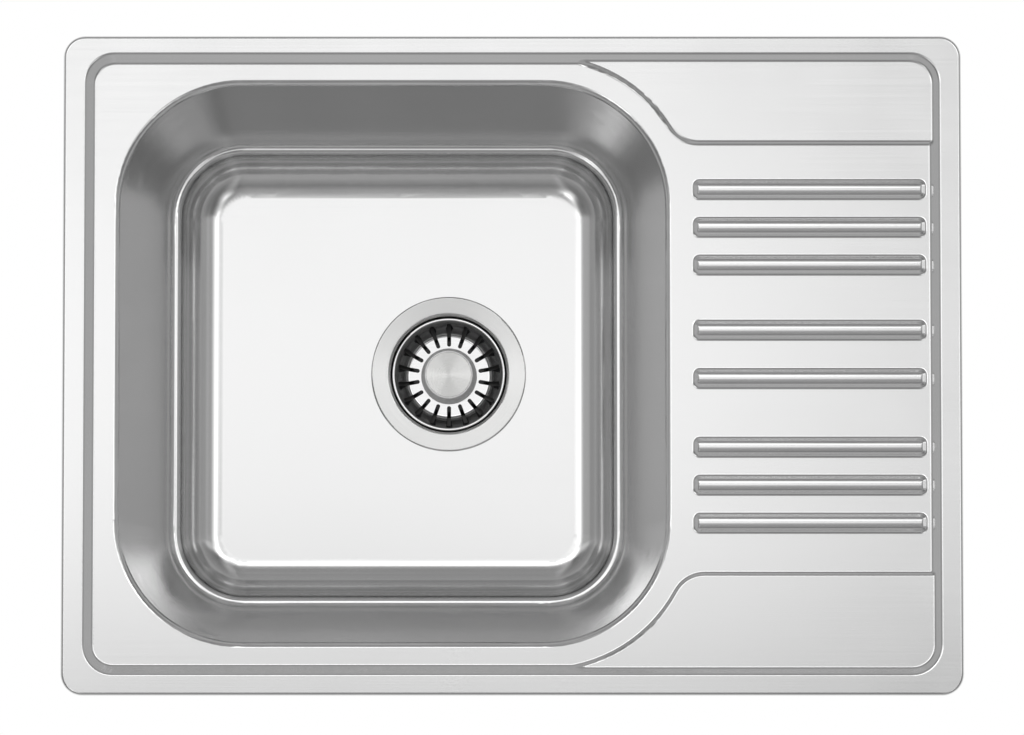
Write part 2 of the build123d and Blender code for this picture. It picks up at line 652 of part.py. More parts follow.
FLANGE_TOP = FLOOR + FLANGE_SEAL + CUP_SHEET
FLANGE_FALL = 0.6  # of the flange towards the cup
CUP_OUTER = CUP_RADIUS + CUP_SHEET
BODY_TOP = FLOOR_UNDER - BODY_SEAL
BODY_INNER = CUP_OUTER + BODY_GAP
BODY_OUTER = BODY_INNER + BODY_WALL
BODY_FLOOR = CUP_FLOOR - CUP_SHEET - BODY_DROP
THROAT = BODY_FLOOR - BODY_CONE
OUTLET_END = THROAT - OUTLET_LENGTH
HUB_TOP = CUP_FLOOR - CUP_SHEET - PLAY
HUB_BOTTOM = HUB_TOP - HUB_LENGTH
SCREW_HOLE = WASTE_SCREW_RADIUS + 0.3
SEAT_INNER = HOLE_RADIUS + 1.6  # of the two seals round the hole


def under_flange(radius):
    share = (FLANGE_RADIUS - CUP_SHEET - radius) / (FLANGE_RADIUS - CUP_SHEET - CUP_OUTER)
    return FLOOR + FLANGE_SEAL - FLANGE_FALL * share


cup = turned(
    [
        (FLANGE_RADIUS, FLOOR + 0.2),
        (FLANGE_RADIUS, FLANGE_TOP, 1.2),
        (CUP_RADIUS, FLANGE_TOP - FLANGE_FALL, 2.4),
        (CUP_RADIUS, CUP_FLOOR, CUP_CORNER),
        (SCREW_HOLE, CUP_FLOOR),
        (SCREW_HOLE, CUP_FLOOR - CUP_SHEET),
        (CUP_OUTER, CUP_FLOOR - CUP_SHEET, CUP_CORNER + CUP_SHEET),
        (CUP_OUTER, FLANGE_TOP - FLANGE_FALL - CUP_SHEET, 1.6),
        (FLANGE_RADIUS - CUP_SHEET, FLANGE_TOP - CUP_SHEET, 0.4),
        (FLANGE_RADIUS - CUP_SHEET, FLOOR + 0.2),
    ]
)
flow = disc(FLOW_OUTER, CUP_FLOOR - 2, CUP_FLOOR + 1, FLOW_INNER)
for i in range(FLOW_COUNT // 2):
    web = Pos(DRAIN_X, DRAIN_Y, CUP_FLOOR) * Rot(0, 0, 45 + 90 * i)
    flow -= web * Box(3 * FLOW_OUTER, FLOW_WEB, 2 * FLOW_WEB)
parts["strainer_cup"] = cup - flow

parts["flange_seal"] = turned(
    [
        (SEAT_INNER, FLOOR),
        (FLANGE_RADIUS - 2 * CUP_SHEET, FLOOR),
        (FLANGE_RADIUS - 2 * CUP_SHEET, under_flange(FLANGE_RADIUS - 2 * CUP_SHEET)),
        (SEAT_INNER, under_flange(SEAT_INNER)),
    ]
)
parts["body_seal"] = disc(BODY_FLANGE_RADIUS - 1, BODY_TOP, FLOOR_UNDER, SEAT_INNER)

body = turned(
    [
        (BODY_INNER, BODY_TOP),
        (BODY_INNER, BODY_FLOOR, 3),
        (OUTLET_BORE, THROAT, 3),
        (OUTLET_BORE, OUTLET_END),
        (OUTLET_RADIUS, OUTLET_END, 0.8),
        (OUTLET_RADIUS, THROAT - BODY_WALL, 2),
        (BODY_OUTER, BODY_FLOOR - BODY_WALL, 5),
        (BODY_OUTER, BODY_TOP - BODY_FLANGE, 1),
        (BODY_FLANGE_RADIUS, BODY_TOP - BODY_FLANGE, 1),
        (BODY_FLANGE_RADIUS, BODY_TOP),
    ]
)
hub = disc(HUB_RADIUS, HUB_BOTTOM, HUB_TOP)
for i in range(SPOKE_COUNT):
    spoke = Pos(DRAIN_X, DRAIN_Y, HUB_BOTTOM + SPOKE_HEIGHT / 2) * Rot(0, 0, 90 + 360 / SPOKE_COUNT * i)
    reach = OUTLET_BORE + BODY_WALL / 2
    hub += spoke * Pos(reach / 2, 0, 0) * Box(reach, SPOKE_THICK, SPOKE_HEIGHT)
insert_top = HUB_TOP - HUB_CAP
insert_bottom = insert_top - INSERT_LENGTH
hub -= disc(SCREW_HOLE, HUB_BOTTOM - 1, HUB_TOP + 1)
hub -= disc(INSERT_RADIUS, HUB_BOTTOM - 1, insert_top)
body += hub
tail_joint = Plane.XY.offset(HUB_BOTTOM - 2 * PLAY)
parts["waste_body"] = split(body, tail_joint, keep=Keep.TOP)
parts["waste_tail"] = split(body, tail_joint, keep=Keep.BOTTOM)
parts["waste_insert"] = disc(INSERT_RADIUS, insert_bottom, insert_top, WASTE_SCREW_RADIUS + RUNNING / 2)

head_top = CUP_FLOOR + WASTE_HEAD_HEIGHT
screw = disc(WASTE_HEAD_RADIUS, CUP_FLOOR, head_top)
screw = fillet(edges_at(screw, head_top), 0.8)
screw += disc(WASTE_SCREW_RADIUS, insert_bottom, CUP_FLOOR)
screw -= disc(WASTE_SOCKET, head_top - WASTE_SOCKET_DEPTH, head_top + 1)
screw -= Pos(DRAIN_X, DRAIN_Y, head_top) * Box(2 * WASTE_HEAD_RADIUS + 2, 1.6, 3.2)
parts["waste_screw"] = screw


# ---- basket with its knob, plug and stem ----

PLATE_UNDER = BASKET_PLATE - BASKET_SHEET
PLUG_UNDER = PLATE_UNDER - PLUG_PLATE
PLUG_LIP = CUP_FLOOR + PLUG_GAP
WASHER_UNDER = PLUG_UNDER - WASHER_THICK
NUT_UNDER = WASHER_UNDER - STEM_NUT_HEIGHT
STEM_HOLE = STEM_RADIUS + 0.2
basket_wall = BASKET_RIM_RADIUS - BASKET_RIM_WIDTH
lean = (basket_wall - BASKET_PLATE_RADIUS) / BASKET_DEPTH
across = BASKET_SHEET * sqrt(1 + lean**2)

basket = turned(
    [
        (STEM_HOLE, PLATE_UNDER),
        (STEM_HOLE, BASKET_PLATE),
        (BASKET_PLATE_RADIUS, BASKET_PLATE, 3.5),
        (basket_wall, BASKET_RIM, 0.8),
        (BASKET_RIM_RADIUS, BASKET_RIM, 0.8),
        (BASKET_RIM_RADIUS, BASKET_RIM - BASKET_RIM_WIDTH),
        (BASKET_RIM_RADIUS - BASKET_SHEET, BASKET_RIM - BASKET_RIM_WIDTH),
        (BASKET_RIM_RADIUS - BASKET_SHEET, BASKET_RIM - BASKET_SHEET),
        (basket_wall + across - lean * BASKET_SHEET, BASKET_RIM - BASKET_SHEET),
        (BASKET_PLATE_RADIUS + across - lean * BASKET_SHEET, PLATE_UNDER, 3.5 + BASKET_SHEET),
    ]
)
slot_bottom, slot_top = PLATE_UNDER - 1, BASKET_RIM - SLOT_TOP
for i in range(SLOT_COUNT):
    turn = Pos(DRAIN_X, DRAIN_Y, (slot_bottom + slot_top) / 2) * Rot(0, 0, 90 + 360 / SLOT_COUNT * i)
    height = slot_top - slot_bottom
    start, end = SLOT_START + SLOT_WIDTH / 2, BASKET_RIM_RADIUS + 1
    basket -= turn * Pos((start + end) / 2, 0, 0) * Box(end - start, SLOT_WIDTH, height)
    basket -= turn * Pos(start, 0, 0) * Cylinder(SLOT_WIDTH / 2, height)
parts["basket"] = basket

knob_top = BASKET_PLATE + KNOB_HEIGHT
stem_top = BASKET_PLATE + KNOB_HEIGHT * 0.6
parts["basket_knob"] = turned(
    [
        (0, stem_top),
        (STEM_RADIUS, stem_top),
        (STEM_RADIUS, BASKET_PLATE),
        (KNOB_BASE_RADIUS, BASKET_PLATE),
        (KNOB_BASE_RADIUS, BASKET_PLATE + 2.4, 0.8),
        (KNOB_WAIST_RADIUS, BASKET_PLATE + KNOB_HEIGHT * 0.5, 5),
        (KNOB_TOP_RADIUS, knob_top - 2.6, 1),
        (KNOB_TOP_RADIUS, knob_top, 0.5),
        (CAP_RADIUS, knob_top),
        (CAP_RADIUS, knob_top - CAP_THICK),
        (0, knob_top - CAP_THICK),
    ]
)
cap = disc(CAP_RADIUS, knob_top - CAP_THICK, knob_top + 0.2)
parts["knob_cap"] = fillet(edges_at(cap, knob_top + 0.2), 0.3)

parts["plug_seal"] = turned(
    [
        (STEM_HOLE, PLUG_UNDER),
        (STEM_HOLE, PLATE_UNDER),
        (PLUG_RADIUS - PLUG_WALL - 1, PLATE_UNDER, 1),
        (PLUG_RADIUS, PLUG_LIP + 2),
        (PLUG_RADIUS, PLUG_LIP, 0.4),
        (PLUG_RADIUS - PLUG_WALL, PLUG_LIP),
        (PLUG_RADIUS - 2 * PLUG_WALL - 1, PLUG_UNDER, 2),
    ]
)
parts["plug_washer"] = disc(WASHER_RADIUS, WASHER_UNDER, PLUG_UNDER, STEM_HOLE)
hexagon = Pos(DRAIN_X, DRAIN_Y, NUT_UNDER) * RegularPolygon(STEM_NUT_WIDTH / 2, 6, major_radius=False)
parts["stem_nut"] = extrude(hexagon, STEM_NUT_HEIGHT) - disc(
    STEM_RADIUS + RUNNING / 2, NUT_UNDER - 1, WASHER_UNDER + 1
)

guide_top = NUT_UNDER - PLAY
guide_bottom = guide_top - GUIDE_LENGTH
guide = disc(WASTE_SOCKET - RUNNING, guide_bottom, guide_top)
guide = chamfer(edges_at(guide, guide_bottom), 0.6)
guide += disc(WASTE_SOCKET + 1.4, guide_top - 0.6, guide_top)
parts["snap_guide"] = guide - disc(STEM_RADIUS + RUNNING, guide_bottom - 1, guide_top + 1)

stem = disc(STEM_RADIUS, guide_bottom - PLAY, stem_top)
stem += disc(STEM_RADIUS + 1.2, guide_bottom - PLAY - 1.2, guide_bottom - PLAY)
parts["basket_stem"] = stem

os.makedirs("parts", exist_ok=True)
for name, shape in parts.items():
    export_step(shape, f"parts/{name}.step")
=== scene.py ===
import bpy
import json
import math
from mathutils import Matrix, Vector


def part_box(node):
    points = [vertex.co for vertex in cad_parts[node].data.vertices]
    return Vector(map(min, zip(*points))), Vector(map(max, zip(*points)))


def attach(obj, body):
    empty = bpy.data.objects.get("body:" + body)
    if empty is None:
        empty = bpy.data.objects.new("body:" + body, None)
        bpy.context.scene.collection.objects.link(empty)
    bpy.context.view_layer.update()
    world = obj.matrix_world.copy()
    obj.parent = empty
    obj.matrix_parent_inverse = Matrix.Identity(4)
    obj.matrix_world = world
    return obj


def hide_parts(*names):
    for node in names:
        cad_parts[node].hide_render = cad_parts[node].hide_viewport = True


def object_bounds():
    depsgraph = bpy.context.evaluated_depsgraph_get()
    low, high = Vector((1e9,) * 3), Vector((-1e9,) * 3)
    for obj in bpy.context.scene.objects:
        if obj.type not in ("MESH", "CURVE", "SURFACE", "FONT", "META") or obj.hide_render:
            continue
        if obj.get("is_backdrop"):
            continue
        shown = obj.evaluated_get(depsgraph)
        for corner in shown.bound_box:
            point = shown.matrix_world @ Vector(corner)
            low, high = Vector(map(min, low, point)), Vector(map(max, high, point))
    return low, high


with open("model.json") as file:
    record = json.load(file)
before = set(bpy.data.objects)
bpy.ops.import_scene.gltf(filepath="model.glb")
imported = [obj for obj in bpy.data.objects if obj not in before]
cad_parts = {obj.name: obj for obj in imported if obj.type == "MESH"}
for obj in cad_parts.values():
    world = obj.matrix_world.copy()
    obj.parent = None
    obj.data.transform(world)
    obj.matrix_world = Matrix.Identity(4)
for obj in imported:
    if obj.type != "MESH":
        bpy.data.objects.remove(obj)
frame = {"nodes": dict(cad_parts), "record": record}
cad_low, cad_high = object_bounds()
nodes = frame["nodes"]

# ---- camera: above the sink and a little in front of its middle, as in the photograph ----
CAMERA_PLACE = (-0.0002, -0.2198, 2.9164)
CAMERA_TILT = 2.846  # degrees from straight down
CAMERA_LENS = 144.54  # mm on a sensor 36 mm wide
CAMERA_SHIFT = 0.1

camera = bpy.data.objects.new("camera", bpy.data.cameras.new("camera"))
bpy.context.scene.collection.objects.link(camera)
bpy.context.scene.camera = camera
camera.location = CAMERA_PLACE
camera.rotation_euler = (math.radians(CAMERA_TILT), 0.0, 0.0)
camera.data.sensor_width = 36.0
camera.data.lens = CAMERA_LENS
camera.data.shift_y = CAMERA_SHIFT
camera.data.clip_end = 50.0


# ---- node helpers ----


class Tree:
    """Short names for adding shader nodes."""

    def __init__(self, tree):
        self.tree = tree
        tree.nodes.clear()

    def add(self, kind, inputs=None, **settings):
        node = self.tree.nodes.new(kind)
        for name, value in settings.items():
            setattr(node, name, value)
        for name, value in (inputs or {}).items():
            socket = node.inputs[name]
            if isinstance(value, bpy.types.NodeSocket):
                self.tree.links.new(value, socket)
            else:
                socket.default_value = value
        return node

    def math(self, operation, *values):
        node = self.add("ShaderNodeMath", operation=operation)
        for i, value in enumerate(values):
            if isinstance(value, bpy.types.NodeSocket):
                self.tree.links.new(value, node.inputs[i])
            else:
                node.inputs[i].default_value = value
        return node.outputs[0]

    def share(self, value, start, end, most=1.0):
        """0 where the value is at start, most where it is at end, and in between."""
        inputs = {"Value": value, "From Min": start, "From Max": end, "To Max": most}
        return self.add("ShaderNodeMapRange", inputs, clamp=True).outputs[0]

    def blend(self, share, first, second):
        """The colour first where share is 0, second where it is 1."""
        colours = [c if isinstance(c, bpy.types.NodeSocket) else (*c, 1) for c in (first, second)]
        return self.add("ShaderNodeMixRGB", {0: share, 1: colours[0], 2: colours[1]}).outputs[0]

    def height(self, place):
        """The third coordinate of a place."""
        return self.add("ShaderNodeSeparateXYZ", {0: place}).outputs[2]


def material(name):
    made = bpy.data.materials.new(name)
    made.use_nodes = True
    return made, Tree(made.node_tree)


def curve(t, value, points):
    """A value read from a smooth curve through points (x, y)."""
    low, high = points[0][0], points[-1][0]
    ramp = t.add("ShaderNodeValToRGB", {0: t.share(value, low, high)})
    ramp.color_ramp.interpolation = "EASE"
    elements = ramp.color_ramp.elements
    while len(elements) > 1:
        elements.remove(elements[-1])
    for i, (x, y) in enumerate(points):
        element = elements[0] if i == 0 else elements.new((x - low) / (high - low))
        element.position = (x - low) / (high - low)
        element.color = (y, y, y, 1)
    return ramp.outputs[0]


# ---- finishes ----

DRAIN = (-0.0477, 0.0048)  # the drain's axis
WORN_SHADE = 0.6  # share of the colour left where a finish is worn
WORN_ROUGHNESS = 0.3  # roughness added there
PAINTED_SHADE_SHARE = 0.14  # share of the colour left below a given height, where the colour is painted dark as shade (painted shade)
DULL_ROUGHNESS = 0.12
SHADE_AND_DULL_FADE = 0.003  # height over which the painted shade and the extra roughness fade in
FLAT_NORMAL = 0.9  # upward share of the normal where the painted shade on steep walls starts
STEEP_NORMAL = 0.5  # and where that painted shade is full
THREAD_DEPTH = 0.22  # relief of a thread, as a share of its pitch
LEAST_ROUGHNESS = 0.03


def scaled(colour, share):
    """A colour made darker or lighter, within 0 and 1."""
    return tuple(min(max(c * share, 0.0), 1.0) for c in colour)



def noise(t, place, scale, detail=3.0):
    """A noise from 0 to 1; scale is a number per metre, or three of them for a grain."""
    if not isinstance(scale, tuple):
        scale = (scale, scale, scale)
    stretched = t.add("ShaderNodeVectorMath", {0: place, 1: scale}, operation="MULTIPLY").outputs[0]
    return t.add("ShaderNodeTexNoise", {"Vector": stretched, "Scale": 1.0, "Detail": detail}).outputs[0]


def turned_place(t, place):
    """Coordinates of a turned piece: its radius, its height and a little of its angle."""
    split = t.add("ShaderNodeSeparateXYZ", {0: place})
    x = t.math("SUBTRACT", split.outputs[0], DRAIN[0])
    y = t.math("SUBTRACT", split.outputs[1], DRAIN[1])
    radius = t.math("SQRT", t.math("ADD", t.math("MULTIPLY", x, x), t.math("MULTIPLY", y, y)))
    angle = t.math("ARCTAN2", y, x)
    return t.add(
        "ShaderNodeCombineXYZ", {0: radius, 1: split.outputs[2], 2: t.math("MULTIPLY", angle, 0.001)}
    ).outputs[0]


def finish(
    name,
    colour,
    roughness,
    metallic=1.0,
    spread=0.04,
    cloud=16.0,
    grain=(6.0, 900.0, 900.0),
    grain_share=0.5,
    grain_depth=0.004,
    fine=2600.0,
    fine_depth=0.003,
    rough_spread=0.08,
    turned=False,
    pitch=None,
    anisotropic=0.0,
    wear=0.0,
    painted_shade_below=None,
    painted_shade_walls=None,
):
    """A finish whose colour, roughness and relief all vary; depths are in millimetres. Below a given
    height or on steep walls its colour can be painted dark as shade.
    """
    made, t = material(name)
    place = t.add("ShaderNodeTexCoord").outputs["Object"]
    lined = turned_place(t, place) if turned else place
    streak = noise(t, lined, grain, 4.0)
    patch = noise(t, place, cloud, 4.0)
    grit = noise(t, place, fine, 2.0)
    share = t.math(
        "ADD", t.math("MULTIPLY", streak, grain_share), t.math("MULTIPLY", patch, 1 - grain_share)
    )
    dark = scaled(colour, 1 - spread)
    light = scaled(colour, 1 + spread)
    tint = t.blend(t.share(share, 0.3, 0.7), dark, light)
    swing = t.math("MULTIPLY", t.math("SUBTRACT", share, 0.5), rough_spread * 2)
    rough = t.math("ADD", swing, roughness)
    if wear:
        rub = t.share(noise(t, place, cloud * 7, 6.0), 0.58, 0.72, wear)
        tint = t.blend(rub, tint, scaled(colour, WORN_SHADE))
        rough = t.math("ADD", rough, t.math("MULTIPLY", rub, WORN_ROUGHNESS))
    # below a given height the colour is painted dark as shade (painted shade), and the roughness rises
    # there too
    if painted_shade_below is not None:
        shade_and_dull = t.share(t.height(place), painted_shade_below, painted_shade_below - SHADE_AND_DULL_FADE)
        tint = t.blend(shade_and_dull, tint, scaled(colour, PAINTED_SHADE_SHARE))
        rough = t.math("ADD", rough, t.math("MULTIPLY", shade_and_dull, DULL_ROUGHNESS))
    # steep walls get a darker colour than flats: painted shade
    if painted_shade_walls:
        slope = t.math("ABSOLUTE", t.height(t.add("ShaderNodeTexCoord").outputs["Normal"]))
        tint = t.blend(t.share(slope, FLAT_NORMAL, STEEP_NORMAL), tint, scaled(colour, painted_shade_walls))
    streak_height = t.math("MULTIPLY", streak, grain_depth * 0.001)
    height = t.math("ADD", streak_height, t.math("MULTIPLY", grit, fine_depth * 0.001))
    if pitch:
        turn = t.math("SINE", t.math("MULTIPLY", t.height(place), 2 * math.pi / pitch))
        height = t.math("ADD", height, t.math("MULTIPLY", turn, pitch * THREAD_DEPTH))
    relief = t.add("ShaderNodeBump", {"Height": height, "Distance": 1.0, "Strength": 1.0})
    sockets = {
        "Base Color": tint,
        "Metallic": metallic,
        "Roughness": t.math("MAXIMUM", rough, LEAST_ROUGHNESS),
        "Normal": relief.outputs[0],
    }
    if anisotropic:
        sockets["Anisotropic"] = anisotropic
        sockets["Anisotropic Rotation"] = 0.25
        sockets["Tangent"] = t.add("ShaderNodeTangent", direction_type="RADIAL", axis="Z").outputs[0]
    surface = t.add("ShaderNodeBsdfPrincipled", sockets)
    t.add("ShaderNodeOutputMaterial", {"Surface": surface.outputs[0]})
    return made


RINGS = (1400.0, 1400.0, 400.0)  # grain of a turned piece
FINE_RINGS = (2600.0, 2600.0, 900.0)
ZINC = (0.60, 0.62, 0.64)
MILKY = (0.80, 0.80, 0.785)
SCREW_PITCH = 0.0008
OUTLET_PITCH = 0.00231
MATERIALS = {
    "stainless_sheet": finish("sheet", (0.79, 0.79, 0.79), 0.15, spread=0.02, rough_spread=0.05),
    "stainless_strainer": finish(
        "strainer",
        (0.72, 0.72, 0.715),
        0.22,
        spread=0.05,
        grain=RINGS,
        turned=True,
        grain_depth=0.002,
        fine_depth=0.001,
        anisotropic=0.75,
        # the strainer cup's bottom, seen through the slots, is painted dark below this height: painted
        # shade, with added roughness
        painted_shade_below=-0.158,
    ),
    # the basket's steep walls are painted down to 0.3 of its colour: painted shade
    "stainless_basket": finish(
        "basket", (0.76, 0.76, 0.76), 0.09, spread=0.05, cloud=60.0, fine_depth=0.006, painted_shade_walls=0.3
    ),
    "knob_metal": finish(
        "knob",
        (0.80, 0.80, 0.80),
        0.4,
        0.35,
        spread=0.12,
        cloud=420.0,
        grain_share=0.2,
        fine_depth=0.02,
        wear=0.3,
    ),
    "spun_cap": finish(
        "cap",
        (0.72, 0.72, 0.71),
        0.26,
        spread=0.05,
        grain=FINE_RINGS,
        turned=True,
        grain_depth=0.002,
        fine_depth=0.0,
        anisotropic=0.96,
    ),
    "zinc_steel": finish(
        "zinc",
        ZINC,
        0.34,
        spread=0.1,
        cloud=220.0,
        grain_share=0.2,
        fine_depth=0.02,
        wear=0.35,
    ),
    "foam": finish(
        "foam", (0.050, 0.050, 0.053), 0.88, 0.0, spread=0.3, cloud=300.0, fine=1800.0, fine_depth=0.3
    ),
    "deadening": finish(
        "deadening",
        (0.060, 0.060, 0.064),
        0.72,
        0.0,
        spread=0.2,
        cloud=90.0,
        fine=1400.0,
        fine_depth=0.12,
        wear=0.3,
    ),
    "seal_rubber": finish(
        "rubber", (0.022, 0.022, 0.024), 0.48, 0.0, spread=0.25, cloud=150.0, fine_depth=0.02, wear=0.3
    ),
    "white_plastic": finish(
        "white_plastic", MILKY, 0.38, 0.0, spread=0.02, cloud=60.0, fine_depth=0.012, wear=0.06
    ),
    "grey_plastic": finish("grey_plastic", (0.30, 0.305, 0.31), 0.42, 0.0, spread=0.06, cloud=200.0),
    "brass": finish("brass", (0.78, 0.60, 0.30), 0.26, spread=0.08, grain=RINGS, turned=True),
}
THREADED = {
    "zinc_steel": finish("zinc_thread", ZINC, 0.34, spread=0.1, cloud=220.0, pitch=SCREW_PITCH),
    "white_plastic": finish(
        "plastic_thread", MILKY, 0.38, 0.0, spread=0.02, cloud=60.0, pitch=OUTLET_PITCH
    ),
}
slot_of = {part["node"]: part["material_slot"] for part in frame["record"]["subparts"]}
for name, node in nodes.items():
    finishes = THREADED if name.startswith("clamp_screw") or name == "waste_tail" else MATERIALS
    node.data.materials.clear()
    node.data.materials.append(finishes[slot_of[name]])


# ---- detailed pieces in place of the plain soft solids; sizes in millimetres ----


def piece(name, points, faces, replaced, body, slot):
    """A mesh of points in millimetres that stands for one CAD node and rides on its body."""
    mesh = bpy.data.meshes.new(name)
    mesh.from_pydata([(x / 1000, y / 1000, z / 1000) for x, y, z in points], [], faces)
    mesh.update()
    mesh.polygons.foreach_set("use_smooth", [True] * len(mesh.polygons))
    made = bpy.data.objects.new(name, mesh)
    bpy.context.scene.collection.objects.link(made)
    mesh.materials.append(MATERIALS[slot])
    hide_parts(replaced)
    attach(made, body)
    return made


def softened(section, rounds=2):
    """A closed section with its corners cut in rounds; it stays inside the first one."""
    for _ in range(rounds):
        cut = []
        for i, (x, y) in enumerate(section):
            u, v = section[(i + 1) % len(section)]
            cut.append((x * 0.8 + u * 0.2, y * 0.8 + v * 0.2))
            cut.append((x * 0.2 + u * 0.8, y * 0.2 + v * 0.8))
        section = cut
    return section


def loop_faces(stations, count):
    """Faces of a closed band: stations round the loop, each a closed section of count points."""
    faces = []
    for i in range(stations):
        j = (i + 1) % stations
        for k in range(count):
            m = (k + 1) % count
            faces.append((i * count + k, j * count + k, j * count + m, i * count + m))
    return faces


def ring(name, section, replaced, body, slot, stations=160):
    """A turned piece from a section of (radius, z)."""
    section = softened(section)
    points = []
    for i in range(stations):
        angle = 2 * math.pi * i / stations
        for radius, z in section:
            x = DRAIN[0] * 1000 + radius * math.cos(angle)
            y = DRAIN[1] * 1000 + radius * math.sin(angle)
            points.append((x, y, z))
    return piece(name, points, loop_faces(stations, len(section)), replaced, body, slot)


def strip_loop(name, half_x, half_y, corner, section, replaced, slot):
    """A strip laid round a rounded rectangle from a section of (distance inwards, z)."""
    section = softened(section)
    spots = []
    for turn, (sx, sy) in enumerate(((1, 1), (-1, 1), (-1, -1), (1, -1))):
        centre = (sx * (half_x - corner), sy * (half_y - corner))
        for step in range(13):
            angle = math.pi / 2 * (turn + step / 12)
            spots.append((centre, (math.cos(angle), math.sin(angle))))
        nx, ny = ((-1, 1), (-1, -1), (1, -1), (1, 1))[turn]
        following = (nx * (half_x - corner), ny * (half_y - corner))
        normal = (math.cos(math.pi / 2 * (turn + 1)), math.sin(math.pi / 2 * (turn + 1)))
        for step in range(1, 40):
            share = step / 40
            middle = tuple(a + (b - a) * share for a, b in zip(centre, following))
            spots.append((middle, normal))
    points = []
    for i, (centre, normal) in enumerate(spots):
        give = 0.12 * math.sin(i * 1.7) + 0.08 * math.sin(i * 4.3 + 1.0)
        for inwards, z in section:
            reach = corner - inwards - 0.2 - give
            points.append((centre[0] + normal[0] * reach, centre[1] + normal[1] * reach, z))
    faces = loop_faces(len(spots), len(section))
    return piece(name, points, faces, replaced, "root", slot)


def pressed_pad(name, node, slot, pitch=9.0, relief=0.5, corner=10.0):
    """A soft pad with rounded corners, its under side pressed in a pattern of lozenges."""
    low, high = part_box(node)
    x0, y0, z0 = [v * 1000 for v in low]
    x1, y1, z1 = [v * 1000 for v in high]
    columns, rows = int((x1 - x0) / 1.5), int((y1 - y0) / 1.5)
    points, faces = [], []

    def place(i, j):
        """A grid point, drawn in so that the pad's corners are round."""
        x = -1 + 2 * i / columns
        y = -1 + 2 * j / rows
        half_x, half_y = (x1 - x0) / 2, (y1 - y0) / 2
        px, py = x * half_x, y * half_y
        over_x, over_y = abs(px) - (half_x - corner), abs(py) - (half_y - corner)
        if over_x > 0 and over_y > 0:
            reach = max(over_x, over_y) / math.hypot(over_x, over_y)
            px = math.copysign(half_x - corner + over_x * reach, px)
            py = math.copysign(half_y - corner + over_y * reach, py)
        return (x0 + x1) / 2 + px, (y0 + y1) / 2 + py

    for under in (True, False):
        for j in range(rows + 1):
            for i in range(columns + 1):
                x, y = place(i, j)
                if under:
                    edge = min(i, j, columns - i, rows - j)
                    crossing = math.sin(math.pi * (x + y) / pitch) * math.sin(math.pi * (x - y) / pitch)
                    lozenge = abs(crossing)
                    rise = 0.9 if edge == 0 else 0.25 if edge == 1 else relief * (1 - lozenge**0.5)
                    points.append((x, y, z0 + rise))
                else:
                    points.append((x, y, z1))
    width = columns + 1
    top = width * (rows + 1)
    for j in range(rows):
        for i in range(columns):
            a = j * width + i
            faces.append((a, a + width, a + width + 1, a + 1))
            faces.append((top + a, top + a + 1, top + a + width + 1, top + a + width))
    border = [i for i in range(columns)]
    border += [j * width + columns for j in range(rows)]
    border += [rows * width + i for i in range(columns, 0, -1)]
    border += [j * width for j in range(rows, 0, -1)]
    for i, a in enumerate(border):
        b = border[(i + 1) % len(border)]
        faces.append((a, b, top + b, top + a))
    return piece(name, points, faces, node, "root", slot)


SEAL_CORNER = 12.8  # outer corner radius of the rim's seal
SEAT_INNER = 46.6  # inner radius of the two seals round the drain's hole

seal_low, seal_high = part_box("rim_seal")
seal_top = seal_high[2] * 1000
seal = strip_loop(
    "rim_seal_foam",
    seal_high[0] * 1000,
    seal_high[1] * 1000,
    SEAL_CORNER,
    [
        (0.0, seal_top),
        (0.0, 0.9),
        (0.5, 0.0),
        (3.4, 0.0),
        (4.0, 0.35),
        (4.6, 0.0),
        (7.4, 0.0),
        (7.9, 0.9),
        (7.9, seal_top),
    ],
    "rim_seal",
    "foam",
)
pressed_pad("bowl_pad_pressed", "bowl_pad", "deadening")
pressed_pad("drainer_pad_pressed", "drainer_pad", "deadening")

low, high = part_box("flange_seal")
outer = (high[0] - DRAIN[0]) * 1000
base, top = low[2] * 1000, high[2] * 1000
ring(
    "flange_seal_ring",
    [
        (SEAT_INNER, base + 0.45),
        (SEAT_INNER + 0.4, base),
        (outer, base),
        (outer, top),
        (outer - 1.6, top - 0.05),
        (SEAT_INNER, base + 0.7),
    ],
    "flange_seal",
    "root",
    "seal_rubber",
)
low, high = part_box("body_seal")
outer = (high[0] - DRAIN[0]) * 1000
base, top = low[2] * 1000, high[2] * 1000
section = [(SEAT_INNER, top), (SEAT_INNER, base)]
for rib_at in (49.0, 51.0, 53.0):
    section += [(rib_at - 0.5, base), (rib_at, base + 0.5), (rib_at + 0.5, base)]
section += [(outer, base), (outer, base + 0.7), (outer - 0.5, (base + top) / 2)]
section += [(outer, top - 0.7), (outer, top)]
ring("body_seal_ring", section, "body_seal", "root", "seal_rubber")

low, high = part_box("plug_seal")
base, top = low[2] * 1000, high[2] * 1000
ring(
    "plug_rubber",
    [
        (2.25, top - 3.0),
        (2.25, top),
        (26.9, top),
        (27.9, top - 1.6),
        (28.6, top - 4.4),
        (28.0, top - 4.9),
        (29.2, top - 6.2),
        (30.5, base + 2.0),
        (30.5, base + 0.9),
        (29.6, base + 0.55),
        (29.2, base),
        (28.0, base),
        (27.6, base + 1.6),
        (25.0, top - 3.9),
        (24.3, top - 3.0),
        (18.0, top - 3.0),
        (17.5, top - 2.5),
        (16.5, top - 2.5),
        (16.0, top - 3.0),
    ],
    "plug_seal",
    "basket_body",
    "seal_rubber",
)

